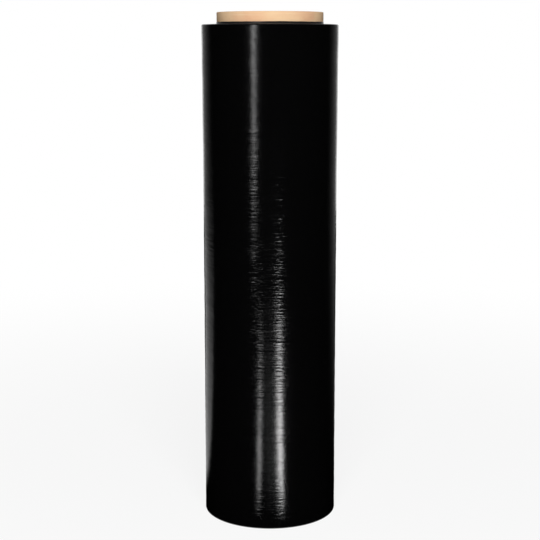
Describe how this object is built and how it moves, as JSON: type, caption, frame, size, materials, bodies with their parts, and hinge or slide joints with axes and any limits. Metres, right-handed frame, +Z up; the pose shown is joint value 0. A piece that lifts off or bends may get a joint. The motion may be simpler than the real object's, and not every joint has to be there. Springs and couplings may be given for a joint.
{
  "type": "stretch wrap roll",
  "caption": "Tall narrow roll of glossy black stretch film wound tightly on a hollow spiral cardboard tube that stands a little proud of the film at one end.",
  "frame": {"origin": "centre of the roll's foot, on the surface that it stands on", "axes": "+Z up along the roll's axis, towards the end where the tube stands proud of the film"},
  "size_m": [0.109, 0.109, 0.4095],
  "materials": {
    "core_board": "matt brown paper board, spiral wound",
    "stretch_film": "glossy black film in tight turns"
  },
  "bodies": {
    "root": {"cardboard_core": "core_board", "film_winding": "stretch_film"}
  },
  "joints": []
}
